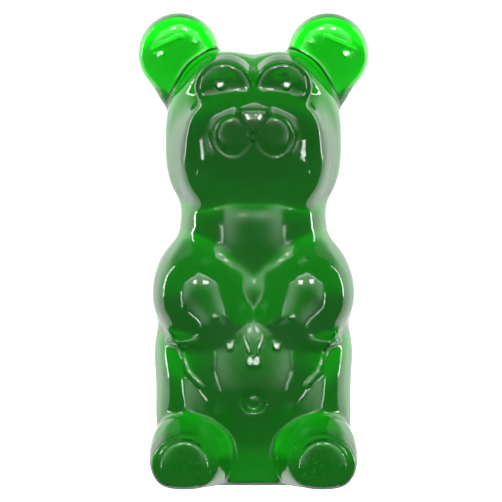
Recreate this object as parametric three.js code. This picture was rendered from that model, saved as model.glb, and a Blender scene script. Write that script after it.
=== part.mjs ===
// A giant gummy bear: one solid piece of moulded fruit gum, sitting upright with its legs and soles
// forward, its arms on its belly and its face turned up. Millimetres, +Z up, the bear faces -Y, and
// the origin is the middle of its base. The shape is a smooth blend of rounded lumps, left and right
// alike, with a few creases pressed in, and a surface net turns it into triangles.
import * as THREE from 'three';

// ---------------------------------------------------------------- driving dimensions
const HEAD = { width: 88, depth: 73, height: 83, at: 170 };
const TRUNK = { width: 96, depth: 74, height: 115, at: 74.5 };
const EAR = { across: 40.2, thick: 25, apart: 75.2, at: 214.6 };
const EYE = { width: 29.5, height: 26, apart: 27.6, at: 197 };
const MUZZLE = { width: 63, height: 44, at: 172, front: -47.5 };
const NOSE = { width: 16, height: 11.5, at: 178 };
const LIP = { across: 23, apart: 20, at: 171 };
const ARM = { width: 48, height: 48, apart: 51.5, at: 96 };
const BELLY = { width: 68, height: 74, at: 58, front: -41 };
const FOOT = { width: 33, height: 29, apart: 67, at: 13, front: -49 };
const NAVEL = { across: 11, deep: 4.2, at: 42.8 };
const BASE_EDGE = 4; // how far the bottom edge rounds off
const MIDDLE = -5.74; // halfway between the soles and the back, before the bear is centred

// ---------------------------------------------------------------- lumps and how they blend
const lumps = [];

// A rounded lump, sized across its three axes. power 2 is an ellipsoid, and more is boxier round its
// waist. back is the power of its rear half, and upright the one from top to bottom. taper says how
// much wider its top is than its middle.
function lump({
  at, size, turn = [0, 0, 0], power = 2, back = power, upright = power, taper = 0, blend = 8,
}) {
  const place = new THREE.Object3D();
  place.position.set(...at);
  place.rotation.set(...turn.map(THREE.MathUtils.degToRad));
  place.scale.set(...size).multiplyScalar(0.5);
  place.updateMatrix();
  const inverse = place.matrix.clone().invert();
  lumps.push({ inverse, half: place.scale, power, back, upright, taper, blend });
}

// The distance from a point to a lump's surface, to first order: negative inside.
function distanceTo({ inverse, half, power: front, back, upright, taper }, x, y, z) {
  const m = inverse.elements;
  const high = m[2] * x + m[6] * y + m[10] * z + m[14];
  const widen = Math.max(1 + taper * high, 0.3);
  const u = Math.abs(m[0] * x + m[4] * y + m[8] * z + m[12]) / widen;
  const deep = m[1] * x + m[5] * y + m[9] * z + m[13];
  const v = Math.abs(deep);
  const w = Math.abs(high);
  const power = deep > 0 ? back : front;
  const waist = Math.max((u ** power + v ** power) ** (1 / power), 1e-6);
  const reach = (waist ** upright + w ** upright) ** (1 / upright);
  if (reach < 1e-5) return -1e3;
  const outward = (waist / reach) ** (upright - 1);
  const slope = Math.hypot(
    (outward * (u / waist) ** (power - 1)) / (half.x * widen),
    (outward * (v / waist) ** (power - 1)) / half.y,
    (w / reach) ** (upright - 1) / half.z,
  );
  return (reach - 1) / slope;
}

function smoothMin(a, b, blend) {
  const near = Math.max(blend - Math.abs(a - b), 0) / blend;
  return Math.min(a, b) - (near * near * blend) / 4;
}

const smoothMax = (a, b, blend) => -smoothMin(-a, -b, blend);

// ---------------------------------------------------------------- the bear's lumps
function trunk() {
  const { width, depth, height, at } = TRUNK;
  const barrel = { at: [0, 5.5, at], size: [width, depth, height] };
  const hips = { at: [0, -4, 24], size: [width, depth - 20, 60] };
  const neck = { at: [0, 3, 133], size: [72, 73, 42] };
  const chest = { at: [0, 0, 122], size: [60, 70, 42] };
  lump({ ...barrel, power: 2.35, back: 4.5, upright: 3.2 });
  lump({ ...hips, power: 2.5, back: 4.5, upright: 3, blend: 13 });
  lump({ ...neck, power: 2.2, back: 3.5, blend: 8 });
  lump({ ...chest, power: 2.3, blend: 12 });
}

function head() {
  const { width, depth, height, at } = HEAD;
  const skull = { at: [0, 0.5, at], size: [width, depth, height] };
  const crown = { at: [0, 14, 186], size: [63, 45, 54] };
  const jaw = { at: [0, -20, 157], size: [45, 44, 37] };
  const throat = { at: [0, -13, 149.5], size: [60, 44, 36] };
  const cheek = { at: [22, -24, 164], size: [30, 32, 50] };
  const brow = { at: [14, -6, 197], size: [38, 38, 34] };
  lump({ ...skull, power: 2.2, back: 3, upright: 2.7, blend: 6 });
  lump({ ...crown, power: 3, back: 4, upright: 6, blend: 6 });
  lump({ ...jaw, power: 2.2, blend: 7 });
  lump({ ...throat, power: 2.4, blend: 7 });
  lump({ ...cheek, power: 2.2, blend: 7 });
  lump({ ...brow, blend: 6 });
}

// Thick round discs with rounded rims, leaning a little forward.
function ears() {
  const { across, thick, apart, at } = EAR;
  const disc = { at: [apart / 2, 6, at], size: [across, across, thick], turn: [110, 0, 0] };
  const root = { at: [apart / 2 - 6, 10, at - 13], size: [34, thick - 8, 36], turn: [0, -40, 0] };
  lump({ ...disc, upright: 3, blend: 6 });
  lump({ ...root, blend: 5 });
}

function eyes() {
  const { width, height, apart, at } = EYE;
  const disc = { at: [apart / 2, -30, at], size: [width, height, 21], turn: [109, 4, 0] };
  lump({ ...disc, upright: 5, blend: 1.5 });
}

// A round snout with a small disc above the nose and two pairs of discs for the lips.
function muzzle() {
  const { width, height, at, front } = MUZZLE;
  const { across, apart } = LIP;
  const snout = { at: [0, front + 13, at], size: [width, 26, height] };
  const bridge = { at: [0, front + 4.5, at + 6], size: [21, 21, 9], turn: [76, 0, 0] };
  const lip = { at: [apart / 2, front + 6.4, LIP.at], size: [across, across, 13] };
  const pad = { at: [apart / 2, front + 4.3, LIP.at + 1], size: [across - 6, across - 6, 10] };
  lump({ ...snout, upright: 2.4, blend: 5 });
  lump({ ...bridge, upright: 3, blend: 1.5 });
  lump({ ...lip, turn: [90, 8, 0], upright: 2.2, blend: 1 });
  lump({ ...pad, turn: [92, 4, 0], upright: 4, blend: 1 });
}

// An upside-down triangle with rounded corners.
function nose() {
  const { width, height, at } = NOSE;
  const tip = { at: [0, MUZZLE.front - 1.6, at], size: [width * 0.8, 9, height] };
  lump({ ...tip, turn: [-12, 0, 0], power: 3.4, taper: 0.6, blend: 0.7 });
}

function belly() {
  const { width, height, at, front } = BELLY;
  const dome = { at: [0, front + 28, at], size: [width, 56, height] };
  const haunch = { at: [31, -1, 46], size: [21, 54, 54], turn: [0, 20, 0] };
  const button = { at: [0, -28.5, 96], size: [16, 9, 15], turn: [-8, 0, 0] };
  const fold = { at: [29.5, -27.5, 71.5], size: [28, 24, 7] };
  lump({ ...dome, power: 2.3, taper: 0.25, blend: 4 });
  lump({ ...haunch, power: 2.3, blend: 12 });
  lump({ ...button, blend: 3 }); // on the chest, between the paws
  lump({ ...fold, blend: 3 }); // under the arm
}

function arms() {
  const { width, height, apart, at } = ARM;
  const arm = { at: [apart / 2, -13, at], size: [width, 60, height], turn: [16, -8, 0] };
  const paw = { at: [18, -30, at - 14], size: [27, 27, 24] };
  lump({ ...arm, power: 2.2, blend: 8 });
  lump({ ...paw, blend: 7 });
}

function legs() {
  const { width, height, apart, at, front } = FOOT;
  const leg = { at: [29, -16, 16.5], size: [43, 62, 40], turn: [0, -15, 5] };
  const foot = { at: [apart / 2, front + 10, at], size: [width, height, 20], turn: [97, 0, 0] };
  const sole = { at: [apart / 2, front + 2.6, at], size: [width - 8, height - 5, 7] };
  lump({ ...leg, power: 2.6, upright: 2.2, blend: 2.5 });
  lump({ ...foot, upright: 3.2, blend: 5 });
  lump({ ...sole, turn: [99, 0, 0], upright: 3, blend: 1 });
}

[trunk, head, ears, eyes, muzzle, nose, belly, arms, legs].forEach((make) => make());

// ---------------------------------------------------------------- the navel and the base
// A round dimple in the belly, with a small bump left in its middle.
function navel(x, y, z) {
  const away = Math.hypot(x, z - NAVEL.at) / (NAVEL.across / 2);
  const hollow = Math.exp(-(away ** 4)) - 0.45 * Math.exp(-((away / 0.4) ** 2));
  return y < 0 ? NAVEL.deep * hollow : 0;
}

// The bear's field: negative inside, zero on its skin.
function bear(x, y, z) {
  const side = Math.abs(x);
  const skin = lumps.reduce((f, one) => smoothMin(f, distanceTo(one, side, y, z), one.blend), 1e3);
  return smoothMax(skin + navel(side, y, z), -z, BASE_EDGE);
}

// ---------------------------------------------------------------- a surface net over a lattice
// Lattice lines from one end to the other, closer together inside the fine zones.
function lines(from, to, coarse, zones = []) {
  const at = [from];
  while (at.at(-1) < to) {
    const here = at.at(-1);
    const zone = zones.find((z) => here >= z.from - 1e-9 && here < z.to - 1e-9);
    at.push(here + (zone ? zone.step : coarse));
  }
  return at;
}

// Both sides of a half lattice that starts at 0.
const mirrored = (half) => [...half.slice(1).map((v) => -v).reverse(), ...half];

const gradientStep = 0.05;

function gradient(f, p) {
  const e = gradientStep;
  return new THREE.Vector3(
    f(p.x + e, p.y, p.z) - f(p.x - e, p.y, p.z),
    f(p.x, p.y + e, p.z) - f(p.x, p.y - e, p.z),
    f(p.x, p.y, p.z + e) - f(p.x, p.y, p.z - e),
  ).divideScalar(2 * e);
}

// Moves a point along the field's gradient onto the skin.
function ontoSkin(f, p, steps = 3) {
  for (let i = 0; i < steps; i++) {
    const g = gradient(f, p);
    p.addScaledVector(g, -f(p.x, p.y, p.z) / Math.max(g.lengthSq(), 0.1));
  }
}

function surfaceNet(f, xs, ys, zs) {
  const [nx, ny, nz] = [xs.length, ys.length, zs.length];
  const id = (i, j, k) => (k * ny + j) * nx + i;
  const value = new Float64Array(nx * ny * nz);
  for (let k = 0; k < nz; k++)
    for (let j = 0; j < ny; j++)
      for (let i = 0; i < nx; i++) value[id(i, j, k)] = f(xs[i], ys[j], zs[k]);

  // One vertex in each cell that the skin crosses: the mean of its edge crossings.
  const axes = [[1, 0, 0], [0, 1, 0], [0, 0, 1]];
  const points = [];
  const cell = new Map();
  const edges = [];
  for (const [a, axis] of axes.entries())
    for (const s of [0, 1])
      for (const t of [0, 1]) {
        const corner = [0, 0, 0];
        corner[(a + 1) % 3] = s;
        corner[(a + 2) % 3] = t;
        edges.push([corner, corner.map((c, n) => c + axis[n])]);
      }
  for (let k = 0; k < nz - 1; k++)
    for (let j = 0; j < ny - 1; j++)
      for (let i = 0; i < nx - 1; i++) {
        const sum = new THREE.Vector3();
        let crossings = 0;
        for (const [[a, b, c], [d, e, g]] of edges) {
          const from = value[id(i + a, j + b, k + c)];
          const to = value[id(i + d, j + e, k + g)];
          if (from < 0 === to < 0) continue;
          const start = new THREE.Vector3(xs[i + a], ys[j + b], zs[k + c]);
          const end = new THREE.Vector3(xs[i + d], ys[j + e], zs[k + g]);
          sum.add(start.lerp(end, from / (from - to)));
          crossings++;
        }
        if (!crossings) continue;
        cell.set(id(i, j, k), points.length);
        points.push(sum.divideScalar(crossings));
      }

  // One square round each lattice edge that the skin crosses, facing out.
  const quads = [];
  for (let k = 0; k < nz - 1; k++)
    for (let j = 0; j < ny - 1; j++)
      for (let i = 0; i < nx - 1; i++)
        for (const a of [0, 1, 2]) {
          const at = [i, j, k];
          const inside = value[id(...at)] < 0;
          const next = at.map((c, n) => c + axes[a][n]);
          if (inside === value[id(...next)] < 0) continue;
          const [b, c] = [(a + 1) % 3, (a + 2) % 3];
          const round = [[0, 0], [1, 0], [1, 1], [0, 1]].map(([s, t]) => {
            const low = [...at];
            low[b] -= s;
            low[c] -= t;
            return cell.get(id(...low));
          });
          quads.push(inside ? round : round.reverse());
        }
  return { points, quads };
}

// Evens out the net and puts every vertex on the skin.
function settle(f, { points, quads }, rounds) {
  const near = points.map(() => new Set());
  for (const q of quads)
    q.forEach((v, n) => {
      near[v].add(q[(n + 1) % 4]);
      near[q[(n + 1) % 4]].add(v);
    });
  for (let r = 0; r < rounds; r++) {
    const mean = near.map((set) => {
      const m = new THREE.Vector3();
      set.forEach((v) => m.add(points[v]));
      return m.divideScalar(set.size);
    });
    points.forEach((p, n) => p.lerp(mean[n], 0.5));
    points.forEach((p) => ontoSkin(f, p));
  }
  points.forEach((p) => ontoSkin(f, p, 5));
}

// Splits each square along the diagonal that lies closer to the skin.
function triangles(f, { points, quads }) {
  const middle = new THREE.Vector3();
  const gap = (from, to) => {
    middle.lerpVectors(points[from], points[to], 0.5);
    return Math.abs(f(middle.x, middle.y, middle.z));
  };
  return quads.flatMap(([a, b, c, d]) =>
    gap(a, c) < gap(b, d) ? [a, b, c, a, c, d] : [a, b, d, b, c, d],
  );
}

function bearGeometry() {
  const xs = mirrored(lines(0, 64, 5.1, [{ from: 0, to: 23.4, step: 2.6 }]));
  const ys = lines(-60, 48, 5.7, [{ from: -56, to: -40, step: 3.2 }]);
  const zs = lines(-4.1, 242, 5.5, [
    { from: 35, to: 50, step: 3.4 },
    { from: 158, to: 190, step: 2.5 },
    { from: 190, to: 212, step: 3.2 },
  ]);
  const net = surfaceNet(bear, xs, ys, zs);
  settle(bear, net, 3);
  const geometry = new THREE.BufferGeometry().setFromPoints(net.points).translate(0, -MIDDLE, 0);
  geometry.setIndex(triangles(bear, net));
  geometry.computeVertexNormals();
  return geometry;
}

const gum = new THREE.MeshStandardMaterial({ color: 0x0b8a1c, roughness: 0.12, metalness: 0 });
const mesh = new THREE.Mesh(bearGeometry(), gum);
mesh.name = 'gummy_bear';

const group = new THREE.Group();
group.add(mesh);
export default group;
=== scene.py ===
"""Looks of the giant gummy bear: its fine skin, its clear green gum with air bubbles, a pale studio."""

import math

import bmesh
import bpy
import numpy as np
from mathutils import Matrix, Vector

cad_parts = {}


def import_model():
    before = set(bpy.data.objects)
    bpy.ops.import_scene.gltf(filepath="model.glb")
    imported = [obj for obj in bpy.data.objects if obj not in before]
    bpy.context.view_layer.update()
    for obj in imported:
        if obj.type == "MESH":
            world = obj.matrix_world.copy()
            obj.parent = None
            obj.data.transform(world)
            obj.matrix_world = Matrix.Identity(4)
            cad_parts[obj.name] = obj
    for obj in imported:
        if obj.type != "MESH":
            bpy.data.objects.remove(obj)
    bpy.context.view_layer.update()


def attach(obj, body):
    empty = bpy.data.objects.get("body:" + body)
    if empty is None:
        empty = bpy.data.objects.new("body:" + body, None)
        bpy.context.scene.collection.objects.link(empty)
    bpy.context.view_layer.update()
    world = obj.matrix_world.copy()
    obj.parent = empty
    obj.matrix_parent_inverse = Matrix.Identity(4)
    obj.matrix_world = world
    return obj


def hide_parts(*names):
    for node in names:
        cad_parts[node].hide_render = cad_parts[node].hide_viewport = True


MM = 0.001
INSIDE = 0.9987  # keeps the smooth skin inside the box of the CAD solid, whose facets cut its curves

# ---------------------------------------------------------------- driving dimensions, in millimetres
HEAD = dict(width=88, depth=73, height=83, at=170)
TRUNK = dict(width=96, depth=74, height=115, at=74.5)
EAR = dict(across=40.2, thick=25, apart=75.2, at=214.6)
EYE = dict(width=29.5, height=26, apart=27.6, at=197)
MUZZLE = dict(width=63, height=44, at=172, front=-47.5)
NOSE = dict(width=16, height=11.5, at=178)
LIP = dict(across=23, apart=20, at=171)
ARM = dict(width=48, height=48, apart=51.5, at=96)
BELLY = dict(width=68, height=74, at=58, front=-41)
FOOT = dict(width=33, height=29, apart=67, at=13, front=-49)
NAVEL = dict(across=11, deep=4.2, at=42.8)
BASE_EDGE = 4  # how far the bottom edge rounds off
MIDDLE = -5.74  # halfway between the soles and the back, before the bear is centred


# ---------------------------------------------------------------- lumps and how they blend
def turned(*degrees):
    """The axes of a lump turned about x, y and z, in degrees."""
    angles = [math.radians(d) for d in degrees]
    cx, cy, cz = (math.cos(a) for a in angles)
    sx, sy, sz = (math.sin(a) for a in angles)
    about_x = np.array([[1, 0, 0], [0, cx, -sx], [0, sx, cx]])
    about_y = np.array([[cy, 0, sy], [0, 1, 0], [-sy, 0, cy]])
    about_z = np.array([[cz, -sz, 0], [sz, cz, 0], [0, 0, 1]])
    return about_x @ about_y @ about_z


class Lump:
    """A rounded lump, sized across its three axes.

    power 2 is an ellipsoid, and more is boxier round its waist. back is the power of its rear half,
    and upright the one from top to bottom. taper says how much wider its top is than its middle.
    """

    def __init__(self, at, size, turn=(0, 0, 0), power=2.0, back=None, upright=None, taper=0.0, blend=8.0):
        self.at = np.array(at, float)
        self.half = np.array(size, float) / 2
        self.axes = turned(*turn)
        self.power = power
        self.back = back or power
        self.upright = upright or power
        self.taper = taper
        self.blend = blend

    def distance(self, points):
        """The distance to the lump's surface, to first order: negative inside."""
        local = (points - self.at) @ self.axes / self.half
        x, y, z = np.abs(local).T
        widen = np.clip(1 + self.taper * local[:, 2], 0.3, None)
        x = x / widen
        p, q = np.where(local[:, 1] > 0, self.back, self.power), self.upright
        waist = np.maximum((x**p + y**p) ** (1 / p), 1e-6)
        reach = np.maximum((waist**q + z**q) ** (1 / q), 1e-6)
        outward = (waist / reach) ** (q - 1)
        slope_x = outward * (x / waist) ** (p - 1) / (self.half[0] * widen)
        slope_y = outward * (y / waist) ** (p - 1) / self.half[1]
        slope_z = (z / reach) ** (q - 1) / self.half[2]
        return (reach - 1) / np.sqrt(slope_x**2 + slope_y**2 + slope_z**2)


def smooth_min(a, b, blend):
    near = np.maximum(blend - np.abs(a - b), 0) / blend
    return np.minimum(a, b) - near * near * blend / 4


def smooth_max(a, b, blend):
    return -smooth_min(-a, -b, blend)


# ---------------------------------------------------------------- the bear's lumps
def trunk():
    width, depth, height, at = TRUNK.values()
    hips = [width, depth - 20, 60]
    return [
        Lump([0, 5.5, at], [width, depth, height], power=2.35, back=4.5, upright=3.2),
        Lump([0, -4, 24], hips, power=2.5, back=4.5, upright=3, blend=13),
        Lump([0, 3, 133], [72, 73, 42], power=2.2, back=3.5, blend=8),  # neck
        Lump([0, 0, 122], [60, 70, 42], power=2.3, blend=12),  # chest
    ]


def head():
    width, depth, height, at = HEAD.values()
    return [
        Lump([0, 0.5, at], [width, depth, height], power=2.2, back=3, upright=2.7, blend=6),
        Lump([0, 14, 186], [63, 45, 54], power=3, back=4, upright=6, blend=6),  # crown
        Lump([0, -20, 157], [45, 44, 37], power=2.2, blend=7),  # jaw
        Lump([0, -13, 149.5], [60, 44, 36], power=2.4, blend=7),  # throat
        Lump([22, -24, 164], [30, 32, 50], power=2.2, blend=7),  # cheek
        Lump([14, -6, 197], [38, 38, 34], blend=6),  # brow
    ]


def ears():
    """Thick round discs with rounded rims, leaning a little forward."""
    across, thick, apart, at = EAR.values()
    root = [34, thick - 8, 36]
    return [
        Lump([apart / 2, 6, at], [across, across, thick], turn=(110, 0, 0), upright=3, blend=6),
        Lump([apart / 2 - 6, 10, at - 13], root, turn=(0, -40, 0), blend=5),
    ]


def eyes():
    """Domed discs with crisp rims, leaning a little forward."""
    width, height, apart, at = EYE.values()
    return [
        Lump([apart / 2, -30, at], [width, height, 21], turn=(109, 4, 0), upright=5, blend=1.5),
    ]


def muzzle():
    """A round snout with a small disc above the nose and two pairs of discs for the lips."""
    width, height, at, front = MUZZLE.values()
    across, apart, lip_at = LIP.values()
    lip = [across, across, 13]
    pad = [across - 6, across - 6, 10]
    return [
        Lump([0, front + 13, at], [width, 26, height], upright=2.4, blend=5),
        Lump([0, front + 4.5, at + 6], [21, 21, 9], turn=(76, 0, 0), upright=3, blend=1.5),
        Lump([apart / 2, front + 6.4, lip_at], lip, turn=(90, 8, 0), upright=2.2, blend=1),
        Lump([apart / 2, front + 4.3, lip_at + 1], pad, turn=(92, 4, 0), upright=4, blend=1),
    ]


def nose():
    """An upside-down triangle with rounded corners."""
    width, height, at = NOSE.values()
    size = [width * 0.8, 9, height]
    return [
        Lump([0, MUZZLE["front"] - 1.6, at], size, turn=(-12, 0, 0), power=3.4, taper=0.6, blend=0.7),
    ]


def belly():
    width, height, at, front = BELLY.values()
    return [
        Lump([0, front + 28, at], [width, 56, height], power=2.3, taper=0.25, blend=4),
        Lump([31, -1, 46], [21, 54, 54], turn=(0, 20, 0), power=2.3, blend=12),  # haunch
        Lump([0, -28.5, 96], [16, 9, 15], turn=(-8, 0, 0), blend=3),  # button on the chest
        Lump([29.5, -27.5, 71.5], [28, 24, 7], blend=3),  # fold under the arm
    ]


def arms():
    width, height, apart, at = ARM.values()
    return [
        Lump([apart / 2, -13, at], [width, 60, height], turn=(16, -8, 0), power=2.2, blend=8),
        Lump([18, -30, at - 14], [27, 27, 24], blend=7),  # paw
    ]


def legs():
    width, height, apart, at, front = FOOT.values()
    foot = [width, height, 20]
    sole = [width - 8, height - 5, 7]
    return [
        Lump([29, -16, 16.5], [43, 62, 40], turn=(0, -15, 5), power=2.6, upright=2.2, blend=2.5),
        Lump([apart / 2, front + 10, at], foot, turn=(97, 0, 0), upright=3.2, blend=5),
        Lump([apart / 2, front + 2.6, at], sole, turn=(99, 0, 0), upright=3, blend=1),
    ]


def facets():
    """Small flat facets that face a little up and outwards, and catch the light."""
    flat = dict(upright=8, blend=0.6)
    return [
        Lump([16, -40.3, 195.4], [4.6, 4.8, 2.4], turn=(77.5, 5.3, 0), **flat),  # in the eye
        Lump([2.9, -52.3, 178.5], [3.6, 4.8, 2.4], turn=(76.7, 6.1, -8), **flat),  # on the nose
        Lump([1.2, -48.7, 170.5], [2.6, 4, 2.4], turn=(76.7, 6.2, -20), **flat),  # under the nose
        Lump([46.2, -6.1, 213.3], [4.6, 4.2, 2.8], turn=(78.3, 4, -30), **flat),  # on the ear
        Lump([28.8, -7.3, 219.4], [2.8, 2.8, 2.4], turn=(78.5, 4.9, 0), **flat),
        Lump([18.4, -43.3, 83.2], [4, 2.6, 2.4], turn=(72.6, 6.3, 0), **flat),  # on the paw
        Lump([3.0, -39.7, 69.4], [2, 10, 2.4], turn=(72.1, 6.2, -17), **flat),  # knot on the belly
        Lump([1.5, -40.8, 61.9], [4.4, 5.6, 2.4], turn=(71.8, 6.2, -20), **flat),
        Lump([11.2, -39.3, 69.6], [4.6, 5.4, 2.4], turn=(72.1, 5.7, 0), **flat),  # beside the knot
    ]


LUMPS = [
    *trunk(), *head(), *ears(), *eyes(), *muzzle(), *nose(), *belly(), *arms(), *legs(), *facets(),
]


# ---------------------------------------------------------------- the navel, the folds and the base
def navel(side, y, z):
    """A round dimple in the belly, with a small bump left in its middle."""
    away = np.hypot(side, z - NAVEL["at"]) / (NAVEL["across"] / 2)
    hollow = np.exp(-(away**4)) - 0.45 * np.exp(-((away / 0.4) ** 2))
    return np.where(y < 0, NAVEL["deep"] * hollow, 0)


def arc(side, z, width, height, start, end):
    """Points along an ellipse, from one angle to another: 0 is outwards and 90 is up."""
    angles = np.radians(np.linspace(start, end, 14))
    return zip(side + width / 2 * np.cos(angles), z + height / 2 * np.sin(angles))


# Low folds on the front: half-width, height, and a path of (side, z).
FOLDS = (
    (1.0, 1.0, (19.6, 59), (19, 65)),  # beside the knot on the belly
    (1.2, 1.0, (8, 79.5), (13, 84)),
    (1.1, 0.7, (41.9, 76.8), (36.6, 69.5), (32.2, 56.4), (25.9, 50.1)),  # over the hips
    (1.6, 0.7, (34, 36.5), (22, 32), (16, 24)),  # over the thighs
    (1.0, 1.1, (36.5, 221.5), (50.5, 215.5), (49.6, 211.5)),  # on the ears
    (1.2, 1.2, (0, 172.4), (0, 170.6)),  # under the nose
    (0.9, 0.9, *arc(9.8, 171, 20, 23, 5, -165)),  # the smile
)
FAR = 1e3  # farther than any lump or fold reaches


def relief(side, z):
    """How far the folds stand out of the front."""
    height = np.zeros(len(side))
    for width, tall, *path in FOLDS:
        away = np.full(len(side), FAR)
        for start, end in zip(path, path[1:]):
            along = np.subtract(end, start)
            share = ((side - start[0]) * along[0] + (z - start[1]) * along[1]) / (along @ along)
            share = np.clip(share, 0, 1)
            beside = side - start[0] - share * along[0]
            above = z - start[1] - share * along[1]
            away = np.minimum(away, np.hypot(beside, above))
        height += tall * np.exp(-((away / width) ** 2))
    return height


def bear(points):
    """The bear's field: negative inside, zero on its skin."""
    side, y, z = np.abs(points[:, 0]), points[:, 1], points[:, 2]
    folded = np.stack([side, y, z], 1)
    skin = np.full(len(points), FAR)
    for lump in LUMPS:
        skin = smooth_min(skin, lump.distance(folded), lump.blend)
    skin += navel(side, y, z) - np.where(y < 0, relief(side, z), 0)
    return smooth_max(skin, -z, BASE_EDGE)


# ---------------------------------------------------------------- a surface net over a lattice
def lines(start, end, coarse, zones=()):
    """Lattice lines from start to end, closer together inside the fine zones (from, to, step)."""
    at = [start]
    while at[-1] < end:
        steps = [step for low, high, step in zones if low - 1e-9 <= at[-1] < high - 1e-9]
        at.append(at[-1] + (steps[0] if steps else coarse))
    return np.array(at)


def mirrored(half):
    """Both sides of a half lattice that starts at 0."""
    return np.concatenate([-half[:0:-1], half])


def lattice_values(field, xs, ys, zs):
    """The field at every lattice point, worked out exactly only near the skin."""
    grid = np.stack(np.meshgrid(xs, ys, zs, indexing="ij"), -1)
    shape = grid.shape[:3]
    every = 6
    coarse = field(grid[::every, ::every, ::every].reshape(-1, 3))
    nearest = coarse.reshape([math.ceil(n / every) for n in shape])
    for axis, n in enumerate(shape):
        nearest = np.repeat(nearest, every, axis).take(range(n), axis)
    reach = 2.2 * every * max(np.diff(a).max() for a in (xs, ys, zs))
    values = nearest.copy()
    close = np.abs(nearest) < reach
    values[close] = field(grid[close])
    return values


def cell_vertices(values, cells, xs, ys, zs):
    """One vertex in each cell: the mean of the places where the skin crosses its edges."""
    total = np.zeros((len(cells), 3))
    count = np.zeros(len(cells))
    axes = np.eye(3, dtype=int)
    for a in range(3):
        for s in (0, 1):
            for t in (0, 1):
                low = cells + s * axes[(a + 1) % 3] + t * axes[(a + 2) % 3]
                high = low + axes[a]
                va, vb = values[tuple(low.T)], values[tuple(high.T)]
                cross = (va < 0) != (vb < 0)
                share = np.where(cross, va / np.where(cross, va - vb, 1), 0)[:, None]
                start = np.stack([xs[low[:, 0]], ys[low[:, 1]], zs[low[:, 2]]], 1)
                end = np.stack([xs[high[:, 0]], ys[high[:, 1]], zs[high[:, 2]]], 1)
                total += np.where(cross[:, None], start + share * (end - start), 0)
                count += cross
    return total / count[:, None]


def surface_net(field, xs, ys, zs):
    """Vertices and outward quads of the skin: one vertex in each cell that the skin crosses."""
    values = lattice_values(field, xs, ys, zs)
    inside = values < 0
    nx, ny, nz = inside.shape
    corners = sum(
        inside[i:nx - 1 + i, j:ny - 1 + j, k:nz - 1 + k].astype(int)
        for i in (0, 1) for j in (0, 1) for k in (0, 1)
    )
    cells = np.argwhere((corners > 0) & (corners < 8))
    number = np.full(corners.shape, -1)
    number[tuple(cells.T)] = np.arange(len(cells))
    axes = np.eye(3, dtype=int)
    quads = []
    for a in range(3):
        b, c = (a + 1) % 3, (a + 2) % 3
        first = inside.take(range(inside.shape[a] - 1), a)
        second = inside.take(range(1, inside.shape[a]), a)
        at = np.argwhere(first != second)
        at = at[(at[:, b] > 0) & (at[:, c] > 0)]
        round_edge = ((0, 0), (1, 0), (1, 1), (0, 1))
        ring = [number[tuple((at - s * axes[b] - t * axes[c]).T)] for s, t in round_edge]
        ring = np.stack(ring, 1)
        outward = inside[tuple(at.T)]
        quads.append(np.where(outward[:, None], ring, ring[:, ::-1]))
    return cell_vertices(values, cells, xs, ys, zs), np.concatenate(quads)


def onto_skin(field, points, steps):
    """Moves points along the field's gradient onto the skin."""
    e = 0.02
    for _ in range(steps):
        here = field(points)
        slope = np.stack([(field(points + e * axis) - here) / e for axis in np.eye(3)], 1)
        points = points - slope * (here / np.maximum((slope**2).sum(1), 0.1))[:, None]
    return points


def settle(field, points, quads, rounds):
    """Evens out the net and puts every vertex on the skin."""
    edges = np.concatenate([quads[:, [n, (n + 1) % 4]] for n in range(4)])
    count = np.bincount(edges[:, 0], minlength=len(points))
    for _ in range(rounds):
        total = np.zeros_like(points)
        for axis in range(3):
            total[:, axis] = np.bincount(edges[:, 0], points[edges[:, 1], axis], len(points))
        points = (points + total / count[:, None]) / 2
        points = onto_skin(field, points, 1)
    return onto_skin(field, points, 3)


def slopes(field, points):
    """The field's gradient at each point."""
    e = 0.05
    rises = [(field(points + e * axis) - field(points - e * axis)) / (2 * e) for axis in np.eye(3)]
    return np.stack(rises, 1)


# ---------------------------------------------------------------- the pieces: the skin and the bubbles
COARSE, FINE = 1.5, 0.8  # lattice steps; the fine one is for the face, the soles and the middle
BUBBLE_RADII = (0.15, 0.42)
BUBBLE_DEPTH = 0.6  # the least distance from a bubble's middle to the skin
# Swarms of air bubbles on each side: count, middle and spread.
SWARMS = (
    (26, (FOOT["apart"] / 2 - 1, FOOT["front"] + 4, FOOT["at"] + 1), (6, 1.2, 5.5)),
    (26, (FOOT["apart"] / 2 - 9, FOOT["front"] + 7, FOOT["at"] + 1), (3, 1.5, 5)),
    (24, (10, BELLY["front"] + 4, BELLY["at"]), (7, 1.2, 12)),
    (7, (EAR["apart"] / 2, -4, EAR["at"]), (9, 4, 9)),
)


def mesh_piece(name, points, faces, material, normals=None):
    """A piece of the bear from points in millimetres, centred as the part is."""
    mesh = bpy.data.meshes.new(name)
    mesh.from_pydata(((points - [0, MIDDLE, 0]) * MM * INSIDE).tolist(), [], faces.tolist())
    mesh.shade_smooth()
    if normals is not None:
        mesh.normals_split_custom_set_from_vertices(normals.tolist())
    mesh.materials.append(material)
    piece = bpy.data.objects.new(name, mesh)
    bpy.context.scene.collection.objects.link(piece)
    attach(piece, "root")
    return piece


def bear_skin():
    scale = 1.0
    coarse, fine = COARSE * scale, FINE * scale
    xs = mirrored(lines(0, 64, coarse, [(0, 26, fine)]))
    ys = lines(-62, 52, coarse, [(-56, -40, fine)])
    zs = lines(-4.1, 242, coarse, [(156, 226, fine)])
    points, quads = surface_net(bear, xs, ys, zs)
    points = settle(bear, points, quads, 3)
    print("skin", len(points), "points,", len(quads), "squares")
    skin = mesh_piece("gum_skin", points, quads, gum(), slopes(bear, points))
    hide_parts("gummy_bear")


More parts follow.
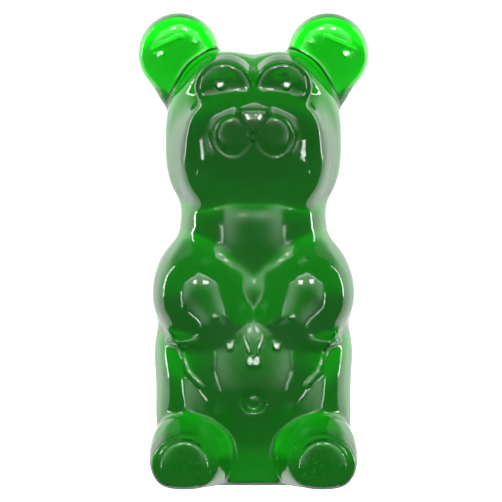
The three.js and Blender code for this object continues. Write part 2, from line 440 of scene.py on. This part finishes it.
def air_bubbles():
    """Tiny air bubbles caught close under the soles, and some in the ears and the belly."""
    chance = np.random.default_rng(7)
    ball = bmesh.new()
    bmesh.ops.create_icosphere(ball, subdivisions=1, radius=1)
    bmesh.ops.reverse_faces(ball, faces=ball.faces)  # air inside, gum outside
    corners = np.array([v.co for v in ball.verts])
    sides = [[v.index for v in f.verts] for f in ball.faces]
    ball.free()
    points, faces = [], []
    for count, middle, spread in SWARMS:
        for side in (-1, 1):
            places = chance.normal(middle, spread, (count, 3)) * [side, 1, 1]
            places = places[bear(places) < -BUBBLE_DEPTH]
            for place in places:
                faces += [[len(points) * len(corners) + i for i in face] for face in sides]
                points.append(place + corners * chance.uniform(*BUBBLE_RADII))
    mesh_piece("air_bubbles", np.concatenate(points), np.array(faces), trapped_air())


# ---------------------------------------------------------------- materials
GUM_IOR = 1.45
# Bumps in the gum's surface: name, cells a metre along x, y and z, and depth in metres.
SKIN_BUMPS = (
    ("waves", (70, 70, 55), 0.00035),
    ("orange_peel", (420, 420, 420), 0.00003),
    ("specks", (1100, 1100, 420), 0.000012),
)
# Duller patches on the chest and on the belly: middle and radii in metres.
DULL_PATCHES = (
    ((0, -0.03, 0.118), (0.034, 0.03, 0.034)),
    ((0, -0.04, 0.066), (0.036, 0.03, 0.04)),
)


def principled(name):
    material = bpy.data.materials.new(name)
    material.use_nodes = True
    return material, material.node_tree.nodes, material.node_tree.links


def gum():
    """Clear green gum that takes up more light the deeper the light goes."""
    material, nodes, links = principled("green_gum")
    shader = nodes["Principled BSDF"]
    shader.inputs["Base Color"].default_value = (0.16, 0.9, 0.2, 1)
    shader.inputs["IOR"].default_value = GUM_IOR
    shader.inputs["Transmission Weight"].default_value = 0.985
    absorb = nodes.new("ShaderNodeVolumeAbsorption")
    absorb.inputs["Color"].default_value = (0.0, 0.87, 0.2, 1)
    absorb.inputs["Density"].default_value = 270.0
    links.new(absorb.outputs["Volume"], nodes["Material Output"].inputs["Volume"])
    place = nodes.new("ShaderNodeTexCoord").outputs["Object"]
    links.new(skin_bumps(nodes, links, place), shader.inputs["Normal"])
    links.new(skin_roughness(nodes, links, place), shader.inputs["Roughness"])
    return material


def skin_bumps(nodes, links, place):
    """The normal after three layers of noise, each laid over the one before."""
    normal = None
    for name, cells, distance in SKIN_BUMPS:
        stretch = nodes.new("ShaderNodeMapping")
        stretch.inputs["Scale"].default_value = cells
        noise = nodes.new("ShaderNodeTexNoise")
        noise.name = name
        noise.inputs["Scale"].default_value = 1.0
        noise.inputs["Detail"].default_value = 1.0
        links.new(place, stretch.inputs["Vector"])
        links.new(stretch.outputs["Vector"], noise.inputs["Vector"])
        layer = nodes.new("ShaderNodeBump")
        layer.inputs["Distance"].default_value = distance
        links.new(noise.outputs["Fac"], layer.inputs["Height"])
        if normal:
            links.new(normal, layer.inputs["Normal"])
        normal = layer.outputs["Normal"]
    return normal


def skin_roughness(nodes, links, place):
    """Gloss that varies with the waves. The mould's open side, the base and two patches are duller."""
    apart = nodes.new("ShaderNodeSeparateXYZ")
    links.new(place, apart.inputs["Vector"])
    waves = nodes["waves"].outputs["Fac"]
    total = mapped(nodes, links, waves, (0.35, 0.75), (0.03, 0.12))
    back = mapped(nodes, links, apart.outputs["Y"], (-0.005, 0.025), (0, 0.28))
    total = added(nodes, links, total, back)
    base = mapped(nodes, links, apart.outputs["Z"], (0.003, 0.001), (0, 0.5))
    total = added(nodes, links, total, base)
    for middle, radii in DULL_PATCHES:
        total = added(nodes, links, total, dull_patch(nodes, links, place, middle, radii))
    return total


def mapped(nodes, links, value, before, after):
    """A value moved from one range to another."""
    node = nodes.new("ShaderNodeMapRange")
    names = ("From Min", "From Max", "To Min", "To Max")
    for name, number in zip(names, (*before, *after)):
        node.inputs[name].default_value = number
    links.new(value, node.inputs["Value"])
    return node.outputs["Result"]


def added(nodes, links, first, second):
    both = nodes.new("ShaderNodeMath")
    links.new(first, both.inputs[0])
    links.new(second, both.inputs[1])
    return both.outputs["Value"]


def dull_patch(nodes, links, place, middle, radii):
    """Extra roughness in an ellipsoid's middle, fading to none at its skin."""
    from_middle = nodes.new("ShaderNodeMapping")
    from_middle.vector_type = "TEXTURE"
    from_middle.inputs["Location"].default_value = middle
    from_middle.inputs["Scale"].default_value = radii
    ball = nodes.new("ShaderNodeTexGradient")
    ball.gradient_type = "SPHERICAL"
    links.new(place, from_middle.inputs["Vector"])
    links.new(from_middle.outputs["Vector"], ball.inputs["Vector"])
    extra = mapped(nodes, links, ball.outputs["Fac"], (0, 0.6), (0, 0.1))
    extra.node.interpolation_type = "SMOOTHSTEP"
    return extra


def trapped_air():
    """The inside of a bubble: its faces look inwards, so light goes from the gum to air and back."""
    material, nodes, _ = principled("trapped_air")
    shader = nodes["Principled BSDF"]
    shader.inputs["IOR"].default_value = GUM_IOR
    shader.inputs["Roughness"].default_value = 0.02
    shader.inputs["Transmission Weight"].default_value = 1.0
    return material


def pale_floor():
    """A pale floor that glows a little, so that the shadow on it is faint."""
    material, nodes, _ = principled("pale_floor")
    shader = nodes["Principled BSDF"]
    shader.inputs["Base Color"].default_value = (0.85, 0.85, 0.84, 1)
    shader.inputs["Roughness"].default_value = 0.6
    shader.inputs["Emission Color"].default_value = (1, 1, 1, 1)
    shader.inputs["Emission Strength"].default_value = 1.7
    return material


# ---------------------------------------------------------------- camera
PHOTO_SIDE = 502  # pixels
MM_PER_PIXEL = 0.5  # on the upright plane through the middle of the bear's trunk
BEAR_MIDDLE_PIXEL = (253.4, 251.75)
CAMERA_HEIGHT = 114.75
CAMERA_DISTANCE = 1100


def camera():
    data = bpy.data.cameras.new("camera")
    data.sensor_width = 36
    data.lens = data.sensor_width * CAMERA_DISTANCE / (PHOTO_SIDE * MM_PER_PIXEL)
    item = bpy.data.objects.new("camera", data)
    right, down = (c - PHOTO_SIDE / 2 for c in BEAR_MIDDLE_PIXEL)
    x = -right * MM_PER_PIXEL
    z = CAMERA_HEIGHT + down * MM_PER_PIXEL
    item.location = Vector((x, -CAMERA_DISTANCE - MIDDLE, z)) * MM
    item.rotation_euler = (math.pi / 2, 0, 0)
    bpy.context.scene.collection.objects.link(item)
    bpy.context.scene.camera = item


# ---------------------------------------------------------------- studio, in metres and degrees
BEAR_MIDDLE = Vector((0, 0, 0.116))
FLOOR_HALF = 3
FLOOR_LEVEL = -0.0004  # just below the base, so that the two don't meet
BOWL_RADIUS = 2.5
CARD = dict(half_width=46, low=-30, side_top=20, middle_top=56, distance=1.6)
# Glowing panels on each side: name, azimuths, elevations, distance and the light's level.
PANELS = (
    ("edge", (105, 108), (-5, 45), 2.3, 20.0),
    ("strip", (46, 49), (-26, 2), 1.5, 22.0),
    ("window", (7, 17), (26, 36), 1.5, 28.0),
)


def smooth_step(value, start, end):
    share = min(max((value - start) / (end - start), 0), 1)
    return share * share * (3 - 2 * share)


def around(azimuth, elevation, distance):
    """A point seen from the bear's middle: azimuth 0 is towards the camera, 90 to its right."""
    a, e = math.radians(azimuth), math.radians(elevation)
    way = Vector((math.sin(a) * math.cos(e), -math.cos(a) * math.cos(e), math.sin(e)))
    return way * distance + BEAR_MIDDLE


def stage_piece(name, points, faces, material):
    mesh = bpy.data.meshes.new(name)
    mesh.from_pydata(points, [], faces)
    mesh.shade_smooth()
    mesh.materials.append(material)
    piece = bpy.data.objects.new(name, mesh)
    bpy.context.scene.collection.objects.link(piece)
    return piece


def glowing_sheet(name, place, steps, rows):
    """A glowing sheet: place gives a point, and the light's level there, from 0..1 across and up."""
    points, levels, faces = [], [], []
    for i in range(steps + 1):
        for j in range(rows + 1):
            point, level = place(i / steps, j / rows)
            points.append(point)
            levels.append(level)
    for i in range(steps):
        for j in range(rows):
            a = i * (rows + 1) + j
            faces.append([a, a + rows + 1, a + rows + 2, a + 1])
    material, nodes, links = principled(name)
    glow = nodes.new("ShaderNodeEmission")
    stored = nodes.new("ShaderNodeAttribute")
    stored.attribute_name = "level"
    links.new(stored.outputs["Fac"], glow.inputs["Strength"])
    links.new(glow.outputs["Emission"], nodes["Material Output"].inputs["Surface"])
    piece = stage_piece(name, points, faces, material)
    piece.data.attributes.new("level", "FLOAT", "POINT").data.foreach_set("value", levels)


def panel(name, azimuths, elevations, distance, level):
    """A glowing curved panel between two azimuths and two elevations."""
    def place(across, up):
        azimuth = azimuths[0] + across * (azimuths[1] - azimuths[0])
        elevation = elevations[0] + up * (elevations[1] - elevations[0])
        return around(azimuth, elevation, distance), level
    glowing_sheet(name, place, 16, 8)


def front_card():
    """A soft light in front, dim in its middle, pointed at its top and fading at its bottom."""
    half_width, low, side_top, middle_top, distance = CARD.values()

    def place(across, up):
        side = 2 * across - 1
        top = side_top + (middle_top - side_top) * (1 - abs(side) ** 1.4)
        azimuth, elevation = half_width * side, low + up * (top - low)
        level = 0.2 + 2.8 * smooth_step(math.hypot(azimuth, elevation + 4), 10, 42)
        level += 5 * smooth_step(up, 0.9, 0.96)
        fade = smooth_step(elevation, -28, -2) * smooth_step(1 - abs(side), 0, 0.2)
        return around(azimuth, elevation, distance), level * fade
    glowing_sheet("front_card", place, 60, 40)


def backdrop():
    """A white bowl behind the bear, brighter towards its rim and dimmer at its top."""
    def place(across, up):
        ring = math.radians(1 + 73 * up)
        turn = 2 * math.pi * across
        way = Vector((math.sin(ring) * math.cos(turn), math.cos(ring), math.sin(ring) * math.sin(turn)))
        level = 1.2 + 0.8 * smooth_step(up, 0.35, 0.6)
        level *= 1 - 0.75 * smooth_step(way.z, 0.45, 0.7)
        return way * BOWL_RADIUS + BEAR_MIDDLE, level
    glowing_sheet("backdrop", place, 96, 48)


def floor():
    """A pale floor that reflections don't show."""
    signs = ((-1, -1), (1, -1), (1, 1), (-1, 1))
    corners = [(x * FLOOR_HALF, y * FLOOR_HALF, FLOOR_LEVEL) for x, y in signs]
    ground = stage_piece("floor", corners, [[0, 1, 2, 3]], pale_floor())
    ground.visible_glossy = False


def world():
    """A white world that is dim where it would show as a reflection."""
    white = bpy.data.worlds.new("world")
    white.use_nodes = True
    nodes, links = white.node_tree.nodes, white.node_tree.links
    path = nodes.new("ShaderNodeLightPath")
    mix = nodes.new("ShaderNodeMixShader")
    bright = nodes["Background"]
    bright.inputs["Color"].default_value = (1, 1, 1, 1)
    bright.inputs["Strength"].default_value = 1.1
    dim = nodes.new("ShaderNodeBackground")
    dim.inputs["Color"].default_value = (0.08, 0.08, 0.08, 1)
    links.new(path.outputs["Is Glossy Ray"], mix.inputs["Fac"])
    links.new(bright.outputs["Background"], mix.inputs[1])
    links.new(dim.outputs["Background"], mix.inputs[2])
    links.new(mix.outputs["Shader"], nodes["World Output"].inputs["Surface"])
    bpy.context.scene.world = white


def overhead_light():
    light = bpy.data.lights.new("overhead", "AREA")
    light.energy = 14
    light.size = 0.8
    item = bpy.data.objects.new("overhead", light)
    item.location = (0, 0.3, 1.5)
    item.visible_glossy = False
    bpy.context.scene.collection.objects.link(item)


def studio():
    floor()
    backdrop()
    front_card()
    for side, word in ((-1, "left"), (1, "right")):
        for name, (near, far), elevations, distance, level in PANELS:
            panel(f"{name}_{word}", (side * near, side * far), elevations, distance, level)
    world()
    overhead_light()


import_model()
camera()
studio()
bear_skin()
air_bubbles()
scene = bpy.context.scene
scene.view_settings.view_transform = "Standard"
scene.cycles.max_bounces = 16
scene.cycles.transmission_bounces = 12
